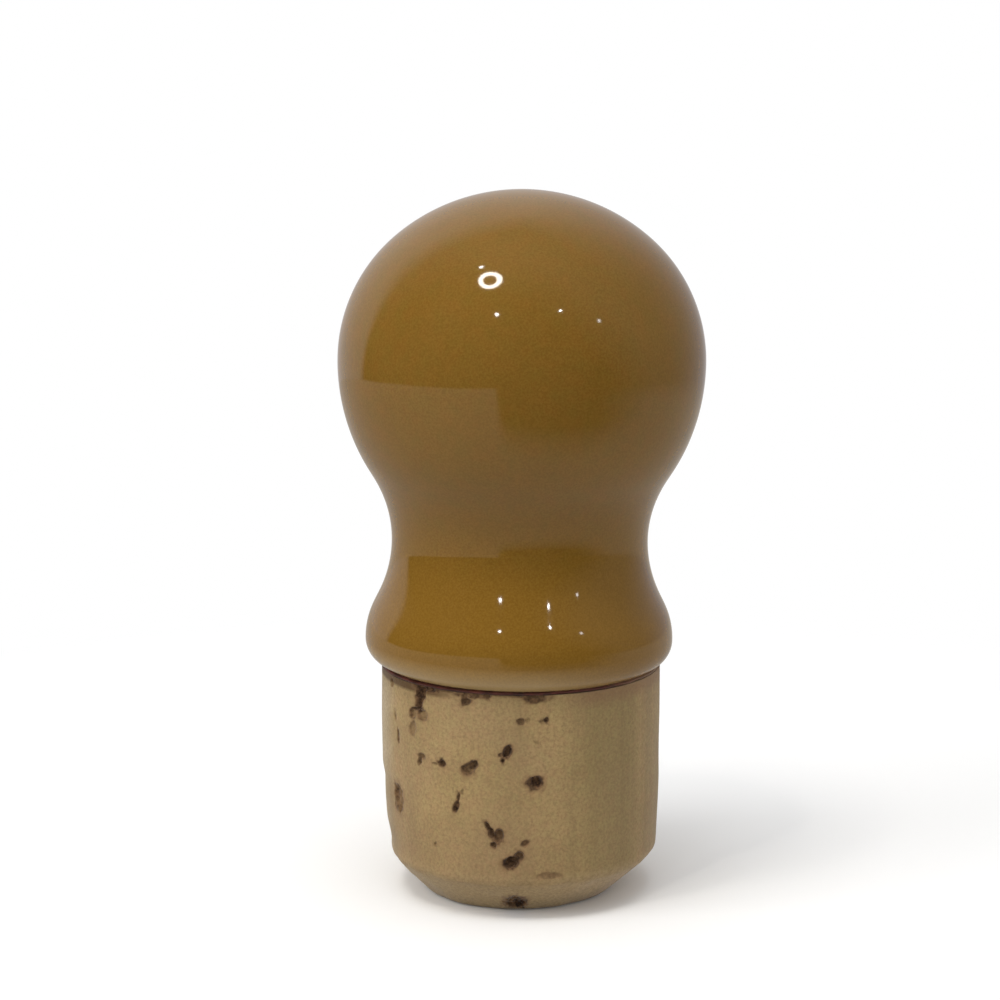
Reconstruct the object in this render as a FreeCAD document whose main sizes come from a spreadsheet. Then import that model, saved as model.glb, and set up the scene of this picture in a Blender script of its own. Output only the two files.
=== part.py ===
import FreeCAD, Part
import math
import os
import Sketcher

# Wine stopper: a glazed earthenware knob with a peg, glued into a bored natural cork.
# Millimetres, +Z up. The origin is the middle of the cork's lower face, on its axis.
# Azimuths go round the cork from its front (-Y), positive towards +X.

SIZES = {
    # natural cork for an 18.5 mm bottle mouth
    "cork_diameter": 21.0,
    "cork_length": 17.1,
    # worn lower edge of the cork: how far in, how far up and how rounded
    "wear_width": 3.1,
    "wear_height": 3.0,
    "wear_round": 1.0,
    # peg of the head, in the bored cork
    "peg_diameter": 8.0,
    "peg_length": 11.0,
    "peg_bevel": 0.8,
    # adhesive: at the seam, round and under the peg, and its edge inside the cork's wall
    "glue_thickness": 0.3,
    "glue_gap": 0.4,
    "glue_inset": 0.3,
    # how the head sits on the cork: off centre to -X, leaning to +X
    "head_offset": 0.15,
    "head_lean": 0.5,
    # foot of the head: the lip stands out past the cork and rolls under to its edge
    "lip_overhang": 1.05,
    "lip_radius": 1.75,
    "flare_radius": 5.8,
    # waist, cut in from the foot
    "waist_depth": 1.95,
    "neck_radius": 9.3,
    # ball: a full belly below its widest line, a slightly flattened crown above it
    "ball_diameter": 27.2,
    "belly_radius": 15.4,
    "shoulder_inset": 1.6,
    "crown_flattening": 1.0,
}

# Pits of the cork, each with its azimuth, place, width, length, depth and tilt.
# Azimuth and tilt are in degrees, and a tilted pit leans its top towards +azimuth.
# A pit runs straight in, with a round outline, or a round-ended one where it is long.
PIT_COLUMNS = ("azimuth", "place", "width", "length", "depth", "tilt")
# Here place is how far the pit's middle lies below the cork's upper face.
SEAM_PITS = {
    "slot": (-44.0, 0.9, 0.6, 2.6, 0.6, 0.0),
    "corner_nick": (-64.0, 0.4, 0.8, 0.8, 0.3, 0.0),
    "seam_blob": (-22.8, 0.3, 0.9, 0.9, 0.4, 0.0),
    "seam_notch": (4.8, 0.1, 0.6, 1.1, 0.3, 90.0),
}
# Here it is the height of the pit's middle.
WALL_PITS = {
    "slot_end_left": (-49.0, 14.8, 0.75, 0.75, 0.4, 0.0),
    "slot_end_right": (-42.0, 14.8, 0.75, 0.75, 0.4, 0.0),
    "pale_oval": (-49.4, 13.7, 0.7, 1.1, 0.2, 0.0),
    "pair_left": (0.5, 15.3, 0.5, 0.75, 0.3, 70.0),
    "pair_right": (9.1, 15.3, 0.4, 0.75, 0.3, 65.0),
    "dot_left": (-44.4, 11.7, 0.55, 0.9, 0.3, 0.0),
    "dot_middle": (-33.9, 11.6, 0.7, 0.7, 0.4, 0.0),
    "bean": (-21.2, 11.5, 0.95, 1.5, 0.5, 45.0),
    "leaf": (-6.6, 12.9, 0.8, 1.5, 0.6, 25.0),
    "round_hole": (5.2, 10.6, 1.2, 1.2, 0.8, 0.0),
    "side_oval": (-61.5, 7.8, 1.1, 2.1, 0.5, 0.0),
    "splinter": (-27.0, 8.7, 0.45, 1.7, 0.4, 14.0),
    "hollow": (-10.5, 6.5, 1.1, 1.5, 0.8, -10.0),
    "hollow_tail": (-14.0, 7.5, 0.5, 1.3, 0.4, -35.0),
    "crumb": (1.3, 6.1, 0.55, 0.55, 0.3, 0.0),
    "slanted_hole": (-3.4, 4.8, 1.0, 1.9, 0.8, 50.0),
    "far_oval": (152.0, 11.9, 0.8, 1.3, 0.5, -20.0),
    "far_round": (171.0, 8.3, 0.9, 0.9, 0.6, 0.0),
    "far_splinter": (134.0, 7.1, 0.4, 1.5, 0.4, 10.0),
    "far_dot": (162.0, 14.2, 0.6, 0.6, 0.4, 0.0),
    "side_streak": (100.0, 9.6, 0.4, 2.0, 0.3, 85.0),
}
# These are in the worn edge, and place is their height there.
EDGE_PITS = {
    "edge_hole": (-1.1, 0.9, 1.0, 1.9, 0.6, 90.0),
}
# A pit's cut starts this far outside the wall.
PIT_START = 1.0

ORIGIN = -1
V_AXIS = -2
START, END, CENTRE = 1, 2, 3

doc = FreeCAD.newDocument("wine_stopper")


def fill_sheet(name, cells):
    """Write named values into a spreadsheet, one below the other."""
    sheet = doc.addObject("Spreadsheet::Sheet", name)
    for number, (alias, value) in enumerate(cells.items(), start=1):
        sheet.set(f"A{number}", alias)
        sheet.set(f"B{number}", str(value))
        sheet.setAlias(f"B{number}", alias)
    return sheet


def origin_plane(body, role):
    """Return one of the body's own origin planes."""
    return next(item for item in body.Origin.OriginFeatures if item.Role == role)


def new_body(name):
    body = doc.addObject("PartDesign::Body", name)
    body.Label = name
    return body


def new_sketch(body, name, role):
    """Start a sketch on an origin plane of its body."""
    sketch = body.newObject("Sketcher::SketchObject", name)
    sketch.AttachmentSupport = [(origin_plane(body, role), "")]
    sketch.MapMode = "FlatFace"
    return sketch


def sketch_line(sketch, start, end):
    first = FreeCAD.Vector(start[0], start[1], 0)
    second = FreeCAD.Vector(end[0], end[1], 0)
    return sketch.addGeometry(Part.LineSegment(first, second), False)


def sketch_arc(sketch, centre, radius, first, last):
    """Draw an arc counter-clockwise between two angles in radians."""
    middle = FreeCAD.Vector(centre[0], centre[1], 0)
    circle = Part.Circle(middle, FreeCAD.Vector(0, 0, 1), radius)
    return sketch.addGeometry(Part.ArcOfCircle(circle, first, last), False)


def sketch_polygon(sketch, corners):
    """Draw a closed outline of straight lines and join its corners."""
    lines = []
    for number, corner in enumerate(corners):
        following = corners[(number + 1) % len(corners)]
        lines.append(sketch_line(sketch, corner, following))
    for number, line in enumerate(lines):
        following = lines[(number + 1) % len(lines)]
        constrain(sketch, "Coincident", line, END, following, START)
    return lines


def constrain(sketch, kind, *places):
    return sketch.addConstraint(Sketcher.Constraint(kind, *places))


def dimension(sketch, kind, places, value, formula):
    """Add a dimension to a sketch and bind it to the sheet."""
    number = sketch.addConstraint(Sketcher.Constraint(kind, *places, value))
    sketch.setExpression(f"Constraints[{number}]", formula)


def revolve(body, sketch, name):
    """Turn a half section once round the sketch's vertical axis."""
    feature = body.newObject("PartDesign::Revolution", name)
    feature.Profile = sketch
    feature.ReferenceAxis = (sketch, ["V_Axis"])
    feature.Angle = 360
    sketch.Visibility = False
    return feature


def ring_edges(shape, radius, height):
    """Name the round edges about the Z axis at a radius and a height."""
    names = []
    for number, edge in enumerate(shape.Edges, start=1):
        if edge.Degenerated or not isinstance(edge.Curve, Part.Circle):
            continue
        right_size = abs(edge.Curve.Radius - radius) < 1e-4
        right_height = abs(edge.Curve.Center.z - height) < 1e-4
        if right_size and right_height:
            names.append(f"Edge{number}")
    return names


def bind(feature, formulas):
    for path, formula in formulas.items():
        feature.setExpression(path, formula)


# Sheets

pit_cells = {}
for pit_name, numbers in {**SEAM_PITS, **WALL_PITS, **EDGE_PITS}.items():
    for column, number in zip(PIT_COLUMNS, numbers):
        pit_cells[f"{pit_name}_{column}"] = number

fill_sheet("Sizes", SIZES)
fill_sheet("Pits", pit_cells)
doc.recompute()


# Head: one turned and glazed piece with its peg, drawn from its underside up

cork_radius = SIZES["cork_diameter"] / 2
foot_radius = cork_radius + SIZES["lip_overhang"]
waist_radius = foot_radius - SIZES["waist_depth"]
ball_radius = SIZES["ball_diameter"] / 2

lip = SIZES["lip_radius"]
flare = SIZES["flare_radius"]
neck = SIZES["neck_radius"]
belly = SIZES["belly_radius"]
shoulder = ball_radius - SIZES["shoulder_inset"]
crown_rise = ball_radius - SIZES["crown_flattening"]

# Each centre lies where its arc touches the one before it.
lip_reach = cork_radius - (foot_radius - lip)
foot_height = math.sqrt(lip**2 - lip_reach**2)
flare_centre = (foot_radius - flare, foot_height)
neck_x = waist_radius + neck
neck_z = foot_height + math.sqrt((flare + neck) ** 2 - (neck_x - flare_centre[0]) ** 2)
belly_x = ball_radius - belly
ball_height = neck_z + math.sqrt((neck + belly) ** 2 - (neck_x - belly_x) ** 2)
inset = SIZES["shoulder_inset"]
crown = (inset**2 + crown_rise**2 - shoulder**2) / (2 * (crown_rise - shoulder))
crown_z = ball_height + crown_rise - crown

flare_angle = math.atan2(neck_z - foot_height, neck_x - flare_centre[0])
belly_angle = math.atan2(neck_z - ball_height, neck_x - belly_x)
crown_angle = math.atan2(ball_height - crown_z, inset)
lip_angle = -math.asin(foot_height / lip)

head = new_body("ceramic_head")
outline = new_sketch(head, "KnobOutline", "XZ_Plane")
axis_line = sketch_line(outline, (0, ball_height + crown_rise), (0, 0))
underside = sketch_line(outline, (0, 0), (cork_radius, 0))
lip_arc = sketch_arc(outline, (foot_radius - lip, foot_height), lip, lip_angle, 0)
flare_arc = sketch_arc(outline, flare_centre, flare, 0, flare_angle)
neck_arc = sketch_arc(outline, (neck_x, neck_z), neck, math.pi + belly_angle, math.pi + flare_angle)
belly_arc = sketch_arc(outline, (belly_x, ball_height), belly, belly_angle, 0)
shoulder_arc = sketch_arc(outline, (inset, ball_height), shoulder, 0, crown_angle)
crown_arc = sketch_arc(outline, (0, crown_z), crown, crown_angle, math.pi / 2)

constrain(outline, "Coincident", axis_line, END, ORIGIN, START)
constrain(outline, "Coincident", underside, START, ORIGIN, START)
constrain(outline, "Coincident", axis_line, START, crown_arc, END)
constrain(outline, "Coincident", underside, END, lip_arc, START)
constrain(outline, "Vertical", axis_line)
constrain(outline, "Horizontal", underside)
constrain(outline, "Tangent", lip_arc, END, flare_arc, START)
constrain(outline, "Tangent", flare_arc, END, neck_arc, END)
constrain(outline, "Tangent", neck_arc, START, belly_arc, START)
constrain(outline, "Tangent", belly_arc, END, shoulder_arc, START)
constrain(outline, "Tangent", shoulder_arc, END, crown_arc, START)
constrain(outline, "Horizontal", lip_arc, CENTRE, lip_arc, END)
constrain(outline, "Horizontal", belly_arc, CENTRE, belly_arc, END)
constrain(outline, "PointOnObject", crown_arc, CENTRE, V_AXIS)

cork_edge = "Sizes.cork_diameter / 2"
foot_edge = f"{cork_edge} + Sizes.lip_overhang"
ball_edge = "Sizes.ball_diameter / 2"
neck_place = f"{foot_edge} - Sizes.waist_depth + Sizes.neck_radius"
shoulder_size = f"{ball_edge} - Sizes.shoulder_inset"
crown_top = f"{ball_edge} - Sizes.crown_flattening"
dimension(outline, "DistanceX", (ORIGIN, START, underside, END), cork_radius, cork_edge)
dimension(outline, "DistanceX", (ORIGIN, START, lip_arc, END), foot_radius, foot_edge)
dimension(outline, "DistanceX", (ORIGIN, START, neck_arc, CENTRE), neck_x, neck_place)
dimension(outline, "DistanceX", (ORIGIN, START, belly_arc, END), ball_radius, ball_edge)
dimension(outline, "DistanceY", (belly_arc, END, crown_arc, END), crown_rise, crown_top)
dimension(outline, "Radius", (lip_arc,), lip, "Sizes.lip_radius")
dimension(outline, "Radius", (flare_arc,), flare, "Sizes.flare_radius")
dimension(outline, "Radius", (neck_arc,), neck, "Sizes.neck_radius")
dimension(outline, "Radius", (belly_arc,), belly, "Sizes.belly_radius")
dimension(outline, "Radius", (shoulder_arc,), shoulder, shoulder_size)
revolve(head, outline, "Knob")

peg_ring = new_sketch(head, "PegRing", "XY_Plane")
peg_circle = Part.Circle(FreeCAD.Vector(0, 0, 0), FreeCAD.Vector(0, 0, 1), SIZES["peg_diameter"] / 2)
peg_edge = peg_ring.addGeometry(peg_circle, False)
constrain(peg_ring, "Coincident", peg_edge, CENTRE, ORIGIN, START)
dimension(peg_ring, "Diameter", (peg_edge,), SIZES["peg_diameter"], "Sizes.peg_diameter")

peg = head.newObject("PartDesign::Pad", "Peg")
peg.Profile = peg_ring
peg.Reversed = True
peg.setExpression("Length", "Sizes.peg_length")
peg_ring.Visibility = False
doc.recompute()

peg_end = head.newObject("PartDesign::Chamfer", "PegBevel")
peg_end.Base = (peg, ring_edges(peg.Shape, SIZES["peg_diameter"] / 2, -SIZES["peg_length"]))
peg_end.setExpression("Size", "Sizes.peg_bevel")

head.Placement.Rotation = FreeCAD.Rotation(FreeCAD.Vector(0, 1, 0), SIZES["head_lean"])
bind(head, {
    ".Placement.Base.x": "-Sizes.head_offset",
    ".Placement.Base.z": "Sizes.cork_length + Sizes.glue_thickness",
    ".Placement.Rotation.Angle": "Sizes.head_lean",
})


# Cork: a straight plug with a worn lower edge, a bore for the peg, and pits

wear_width = SIZES["wear_width"]
wear_height = SIZES["wear_height"]
cork_length = SIZES["cork_length"]

cork = new_body("cork_plug")
section = new_sketch(cork, "CorkSection", "XZ_Plane")
base, bevel, wall, top, axis = sketch_polygon(section, [
    (0, 0),
    (cork_radius - wear_width, 0),
    (cork_radius, wear_height),
    (cork_radius, cork_length),
    (0, cork_length),
])
constrain(section, "Coincident", base, START, ORIGIN, START)
constrain(section, "Horizontal", base)
constrain(section, "Vertical", wall)
constrain(section, "Horizontal", top)
constrain(section, "Vertical", axis)
dimension(section, "DistanceX", (ORIGIN, START, wall, START), cork_radius, cork_edge)
dimension(section, "DistanceY", (ORIGIN, START, top, START), cork_length, "Sizes.cork_length")
dimension(section, "DistanceX", (bevel, START, bevel, END), wear_width, "Sizes.wear_width")
dimension(section, "DistanceY", (bevel, START, bevel, END), wear_height, "Sizes.wear_height")
plug = revolve(cork, section, "Plug")
doc.recompute()

worn_edges = ring_edges(plug.Shape, cork_radius, wear_height)
worn_edges += ring_edges(plug.Shape, cork_radius - wear_width, 0)
worn = cork.newObject("PartDesign::Fillet", "WornEdge")
worn.Base = (plug, worn_edges)
worn.setExpression("Radius", "Sizes.wear_round")

bore = cork.newObject("PartDesign::SubtractiveCylinder", "PegBore")
bind(bore, {
    "Radius": "Sizes.peg_diameter / 2 + Sizes.glue_gap",
    "Height": "Sizes.peg_length + Sizes.glue_gap",
    ".Placement.Base.z": "Sizes.cork_length - Sizes.peg_length - Sizes.glue_gap",
})


def cut_pit(name, numbers, reach, height):
    """Cut a pit into the cork, its middle at a reach from the axis and a height."""
    width, length = numbers[2:4]
    row = f"Pits.{name}_"
    mouth = new_sketch(cork, "Mouth_" + name, "XY_Plane")
    bind(mouth, {
        ".AttachmentOffset.Base.x": f"({reach} + {PIT_START}) * sin({row}azimuth * 1 deg)",
        ".AttachmentOffset.Base.y": f"-({reach} + {PIT_START}) * cos({row}azimuth * 1 deg)",
        ".AttachmentOffset.Base.z": height,
        ".AttachmentOffset.Rotation.Yaw": f"{row}azimuth",
        ".AttachmentOffset.Rotation.Pitch": f"{row}tilt",
        ".AttachmentOffset.Rotation.Roll": "90",
    })
    if length > width:
        draw_slot(mouth, width / 2, (length - width) / 2, row)
    else:
        circle = Part.Circle(FreeCAD.Vector(0, 0, 0), FreeCAD.Vector(0, 0, 1), width / 2)
        ring = mouth.addGeometry(circle, False)
        constrain(mouth, "Coincident", ring, CENTRE, ORIGIN, START)
        dimension(mouth, "Diameter", (ring,), width, f"{row}width")

    pit = cork.newObject("PartDesign::Pocket", "Pit_" + name)
    pit.Profile = mouth
    pit.setExpression("Length", f"{PIT_START} + {row}depth")
    mouth.Visibility = False


def draw_slot(sketch, radius, half, row):
    """Draw an upright slot about the sketch's origin, half its straight run each way."""
    upper = sketch_arc(sketch, (0, half), radius, 0, math.pi)
    left = sketch_line(sketch, (-radius, half), (-radius, -half))
    lower = sketch_arc(sketch, (0, -half), radius, math.pi, 2 * math.pi)
    right = sketch_line(sketch, (radius, -half), (radius, half))
    constrain(sketch, "Tangent", upper, END, left, START)
    constrain(sketch, "Tangent", left, END, lower, START)
    constrain(sketch, "Tangent", lower, END, right, START)
    constrain(sketch, "Tangent", right, END, upper, START)
    constrain(sketch, "Equal", upper, lower)
    constrain(sketch, "PointOnObject", upper, CENTRE, V_AXIS)
    constrain(sketch, "Symmetric", upper, CENTRE, lower, CENTRE, ORIGIN, START)
    dimension(sketch, "Radius", (upper,), radius, f"{row}width / 2")
    run = (lower, CENTRE, upper, CENTRE)
    dimension(sketch, "DistanceY", run, 2 * half, f"{row}length - {row}width")


for name, numbers in SEAM_PITS.items():
    cut_pit(name, numbers, cork_edge, f"Sizes.cork_length - Pits.{name}_place")
for name, numbers in WALL_PITS.items():
    cut_pit(name, numbers, cork_edge, f"Pits.{name}_place")
for name, numbers in EDGE_PITS.items():
    still_worn = f"Sizes.wear_width * (1 - Pits.{name}_place / Sizes.wear_height)"
    cut_pit(name, numbers, f"{cork_edge} - {still_worn}", f"Pits.{name}_place")


# Glue: what fills the seam and the bore, less the head that is pressed into it

seam_fill = doc.addObject("Part::Cylinder", "SeamFill")
bind(seam_fill, {
    "Radius": f"{cork_edge} - Sizes.glue_inset",
    "Height": "2 * Sizes.glue_thickness",
    ".Placement.Base.z": "Sizes.cork_length",
})
bore_fill = doc.addObject("Part::Cylinder", "BoreFill")
bind(bore_fill, {
    "Radius": "Sizes.peg_diameter / 2 + Sizes.glue_gap",
    "Height": "Sizes.peg_length + Sizes.glue_gap",
    ".Placement.Base.z": "Sizes.cork_length - Sizes.peg_length - Sizes.glue_gap",
})
poured = doc.addObject("Part::Fuse", "PouredGlue")
poured.Base = seam_fill
poured.Tool = bore_fill
glue = doc.addObject("Part::Cut", "glue_bed")
glue.Label = "glue_bed"
glue.Base = poured
glue.Tool = head
doc.recompute()


# Check and write the pieces

for item in doc.Objects:
    if "Invalid" in item.State or "Error" in item.State:
        raise RuntimeError(f"{item.Name} didn't build: {item.State}")

os.makedirs("parts", exist_ok=True)
for piece in (head, cork, glue):
    if piece.Shape.isNull() or not piece.Shape.isValid():
        raise RuntimeError(f"{piece.Label} has no valid shape")
    piece.Shape.exportStep(f"parts/{piece.Label}.step")
    box = piece.Shape.BoundBox
    print(piece.Label, len(piece.Shape.Solids), "solid", round(piece.Shape.Volume, 2), "mm3")
    print("  box", [round(edge, 3) for edge in (box.XMin, box.XMax, box.YMin, box.YMax, box.ZMin, box.ZMax)])
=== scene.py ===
import math

import bmesh
import bpy
from mathutils import Matrix, Vector, noise


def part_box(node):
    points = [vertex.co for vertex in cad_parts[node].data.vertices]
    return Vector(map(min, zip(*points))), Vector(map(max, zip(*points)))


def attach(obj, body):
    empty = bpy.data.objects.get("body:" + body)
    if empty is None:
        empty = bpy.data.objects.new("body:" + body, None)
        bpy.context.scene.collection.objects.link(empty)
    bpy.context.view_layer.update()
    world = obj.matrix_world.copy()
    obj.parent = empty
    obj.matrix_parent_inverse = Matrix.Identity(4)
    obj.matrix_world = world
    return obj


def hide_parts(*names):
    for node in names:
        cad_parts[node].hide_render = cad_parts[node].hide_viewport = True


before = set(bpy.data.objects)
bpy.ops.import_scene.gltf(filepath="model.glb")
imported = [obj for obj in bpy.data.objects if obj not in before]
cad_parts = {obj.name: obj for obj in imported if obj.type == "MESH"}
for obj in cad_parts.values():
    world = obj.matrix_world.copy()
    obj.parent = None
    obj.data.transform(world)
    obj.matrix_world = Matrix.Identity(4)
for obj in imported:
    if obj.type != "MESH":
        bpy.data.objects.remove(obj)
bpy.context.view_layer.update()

# A wine stopper of glazed earthenware on a natural cork, in metres.
# Azimuths go round the cork from its front (-Y), positive towards +X.
MM = 0.001
TOLERANCE = 0.01 * MM
SHARP_ANGLE = math.radians(60)

# Cork sizes. What lies inside CORE_RADIUS has no wear and no pits.
cork_low, cork_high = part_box("cork_plug")
CORK_RADIUS = 10.5 * MM
CORK_LENGTH = cork_high.z - cork_low.z
CORK_GRID = 0.25 * MM
CORK_SEGMENTS = 264
WEAR_WIDTH = 3.1 * MM
WEAR_HEIGHT = 3.0 * MM
WEAR_ROUND = 1.0 * MM
WEAR_SLOPE = math.atan2(WEAR_HEIGHT, WEAR_WIDTH)
BASE_RADIUS = CORK_RADIUS - WEAR_WIDTH - WEAR_ROUND * math.tan(WEAR_SLOPE / 2)
BORE_RADIUS = 4.4 * MM
BORE_FLOOR = CORK_LENGTH - 11.4 * MM
CORE_RADIUS = BORE_RADIUS + 1 * MM
TOP_RIM = 1 * MM

# The lower edge is worn in lumps, and its base stands to the left. Both fade out between these heights.
LUMPY_LOW = 2.4 * MM
LUMPY_HIGH = 4.2 * MM
BASE_SHIFT = 0.3 * MM
# In mm: how high and how far apart the lumps of the wall and of the lower edge are, and what is sanded off
WALL_LUMP, WALL_SPACING = 0.04, 4
EDGE_LUMP, EDGE_SPACING = 0.12, 1.6
SANDED = 0.02
# Rubbed places: azimuth of the middle in degrees, depth in mm, and the heights in mm at which the rubbing
# begins, is full, starts to fade and is gone. It grows slighter over RUBBED_WIDTH degrees to either side.
RUBBED = (
    (-100, 0.22, -1, 0, 8.4, 9.8),
    (-100, 0.3, -1, 0, 2.5, 8.5),
    (-100, 0.3, 1.4, 3.2, 3.6, 5.8),
    (95, 0.18, -1, 0, 2.5, 9),
)
RUBBED_WIDTH = 38

# Head sizes, with heights from its underside
GLUE_THICKNESS = 0.3 * MM
GLUE_TOP = CORK_LENGTH + GLUE_THICKNESS
HEAD_OFFSET = -0.15 * MM
HEAD_LEAN = math.radians(0.5)
HEAD_GRID = 0.3 * MM
HEAD_SEGMENTS = 256
PEG_RADIUS = 4.0 * MM
PEG_LENGTH = 11.0 * MM
PEG_BEVEL = 0.8 * MM
FOOT_RADIUS = CORK_RADIUS + 1.05 * MM
LIP_RADIUS = 1.75 * MM
FLARE_RADIUS = 5.8 * MM
WAIST_RADIUS = FOOT_RADIUS - 1.95 * MM
NECK_RADIUS = 9.3 * MM
BALL_RADIUS = 13.6 * MM
BELLY_RADIUS = 15.4 * MM
SHOULDER_INSET = 1.6 * MM
CROWN_RISE = 12.6 * MM
SMOOTHINGS = 4

# Hand turning left the front fuller at the foot and slimmer at the waist than the sides. The front's middle
# and width are in degrees, and each pair of heights tells where a change begins and where it is complete.
FRONT_MIDDLE = 5
FRONT_WIDTH = 52
FULLER = 0.25 * MM
SLIMMER = 0.75 * MM
FULLER_BETWEEN = (1 * MM, 3.5 * MM)
SLIMMER_BETWEEN = (4.4 * MM, 10 * MM)
EVEN_BETWEEN = (10 * MM, 17 * MM)

# The head sits on the glue a little off centre, and leans towards +X.
SEAT = Matrix.Translation((HEAD_OFFSET, 0, GLUE_TOP)) @ Matrix.Rotation(HEAD_LEAN, 4, "Y")

# The adhesive ends inside the cork's wall, and a bead of it is squeezed out there. The bead's amounts are in
# mm: everywhere, in lumps, and more on the left, whose middle and width are azimuths in radians.
GLUE_INSET = 0.3 * MM
GLUE_GRID = 0.06 * MM
BEAD = 0.15
BEAD_LUMPS = 0.12
BEAD_WAVES = 6
BEAD_LEFT = 0.08
LEFT_MIDDLE = -0.9
LEFT_WIDTH = 0.6

# Pits in the cork. Each is made of ovals: azimuth and height of the middle, width, length and depth in mm,
# tilt, darkness of the rim, and the floor's share of that darkness.
PITS = {
    "slot": (
        (-42.6, 17.0, 2.2, 0.5, 0.4, 0, 1, 1), (-44.6, 16.5, 0.95, 1.3, 0.6, 8, 1, 1),
        (-45.4, 15.9, 0.7, 1.5, 0.5, 8, 1, 1), (-46.6, 15.3, 1.3, 0.32, 0.35, -12, 0.9, 1),
    ),
    "slot end": (
        (-49.2, 14.85, 0.85, 0.9, 0.3, -15, 0.8, 0.3), (-43.4, 14.9, 1.0, 0.95, 0.3, 20, 0.75, 0.15),
    ),
    "pale oval": ((-49.2, 13.7, 0.8, 1.1, 0.15, 8, 0.5, 0.5),),
    "thin lines": ((-60.3, 12.7, 0.22, 1.3, 0.12, 0, 0.85, 1), (-62.3, 14.2, 0.25, 0.9, 0.1, -12, 0.5, 1)),
    "corner nick": ((-65.6, 16.5, 0.6, 0.6, 0.3, 30, 0.4, 1),),
    "seam blob": ((-22.4, 16.5, 0.9, 0.6, 0.35, 0, 0.85, 1), (-23.1, 16.9, 0.5, 0.6, 0.3, 0, 0.7, 1)),
    "seam dip": ((-14.1, 17.0, 0.8, 0.4, 0.25, 0, 0.8, 1),),
    "seam notch": (
        (5.1, 16.9, 1.5, 0.75, 0.3, 0, 0.85, 1), (3.4, 17.05, 1.9, 0.3, 0.1, 0, 0.75, 1),
        (8.5, 16.85, 1.7, 0.5, 0.05, -10, 0.4, 1),
    ),
    # These shallow dark ovals along the top of the wall are painted shade in the gap under the lip.
    "painted seam shade": (
        (-33.0, 17.1, 2.4, 0.25, 0.08, 0, 0.6, 1), (-19.5, 17.0, 2.7, 0.45, 0.15, 0, 0.8, 1),
        (-6.5, 17.1, 2.0, 0.22, 0.08, 0, 0.55, 1),
    ),
    "pair": (
        (-0.3, 15.2, 0.55, 0.5, 0.3, 0, 0.8, 0.5), (2.2, 15.3, 0.4, 0.35, 0.1, 0, 0.35, 0.5),
        (9.5, 15.3, 0.4, 0.4, 0.3, 45, 0.9, 1), (7.8, 15.2, 0.4, 0.25, 0.15, 0, 0.4, 1),
    ),
    "triangle": ((-44.2, 11.8, 0.8, 0.5, 0.25, 0, 0.6, 0.8), (-45.3, 11.4, 0.4, 0.7, 0.25, 11, 0.6, 1)),
    "dot": ((-33.4, 11.6, 0.7, 0.6, 0.4, 0, 0.95, 1), (-36.5, 11.5, 0.7, 0.2, 0.1, 0, 0.4, 1)),
    "bean": ((-19.6, 11.8, 0.75, 0.95, 0.5, 61, 0.9, 0.9), (-21.6, 11.45, 1.0, 1.2, 0.4, 45, 0.8, 0.65)),
    "leaf": (
        (-5.8, 12.9, 0.7, 1.1, 0.6, 25, 0.95, 0.95), (-8.3, 12.7, 0.4, 0.3, 0.2, 0, 0.7, 1),
        (-7.5, 12.3, 0.35, 0.4, 0.3, 30, 0.8, 1),
    ),
    "round hole": ((5.1, 10.6, 1.3, 1.1, 0.5, 0, 0.85, 0.9), (5.8, 10.65, 1.0, 0.95, 0.8, 0, 1, 1)),
    "side oval": ((-60.7, 7.9, 1.4, 2.2, 0.35, -8, 0.75, 0.55), (-63.5, 8.1, 0.5, 0.9, 0.3, 0, 0.85, 1)),
    "splinter": (
        (-27.2, 8.5, 0.5, 1.1, 0.4, 17, 0.9, 1), (-26.1, 9.2, 0.25, 1.0, 0.2, 11, 0.7, 1),
        (-24.3, 9.7, 0.2, 0.5, 0.1, 32, 0.3, 1),
    ),
    "hollow": (
        (-13.6, 7.3, 0.35, 1.0, 0.4, -28, 0.8, 1), (-12.0, 6.8, 0.5, 0.85, 0.5, -15, 0.85, 1),
        (-9.0, 6.6, 0.8, 1.35, 0.6, 12, 0.85, 0.6), (-11.1, 5.9, 0.6, 0.45, 0.4, 46, 0.8, 0.9),
    ),
    "crumb": ((1.3, 6.1, 0.5, 0.65, 0.25, 60, 0.7, 0.85),),
    "slanted hole": (
        (-1.1, 5.1, 0.75, 1.0, 0.5, 20, 0.85, 0.75), (-4.2, 4.65, 1.0, 1.4, 0.8, 60, 0.95, 0.9),
    ),
    "smudge": ((11.2, 3.65, 1.7, 0.5, 0.06, 0, 0.4, 1), (12.0, 3.6, 0.7, 0.35, 0.06, 0, 0.6, 1)),
    "edge hole": ((-1.4, 0.95, 2.1, 1.4, 0.6, 0, 0.85, 0.85), (0.3, 0.85, 1.3, 0.9, 0.7, 0, 1, 1)),
    "marks": ((-37.0, 5.4, 0.3, 0.5, 0.1, 0, 0.35, 1), (5.8, 13.6, 0.35, 0.2, 0.1, -20, 0.3, 1)),
    "far side": (
        (152, 11.9, 0.8, 1.3, 0.5, -20, 0.8, 0.9), (171, 8.3, 0.9, 0.9, 0.6, 0, 0.9, 1),
        (134, 7.1, 0.4, 1.5, 0.4, 10, 0.7, 1), (162, 14.2, 0.6, 0.6, 0.4, 0, 0.8, 1),
        (100, 9.6, 0.4, 2.0, 0.3, 85, 0.6, 1),
    ),
}
OVALS = [oval for ovals in PITS.values() for oval in ovals]
# The reach of a place from an oval is 0 at its middle, 1 at its rim, and FAR well away from it.
FAR = 9
FINER_WITHIN = 2
# A rim is ragged, coarsely and finely: share of the reach, and waves to the mm
COARSE, COARSE_WAVES = 0.26, 1.7
FINE, FINE_WAVES = 0.24, 4
# A pit's floor is rough: even share of the depth, uneven share, and waves to the mm
EVEN_DEPTH, UNEVEN_DEPTH, DEPTH_WAVES = 0.85, 0.4, 3
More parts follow.
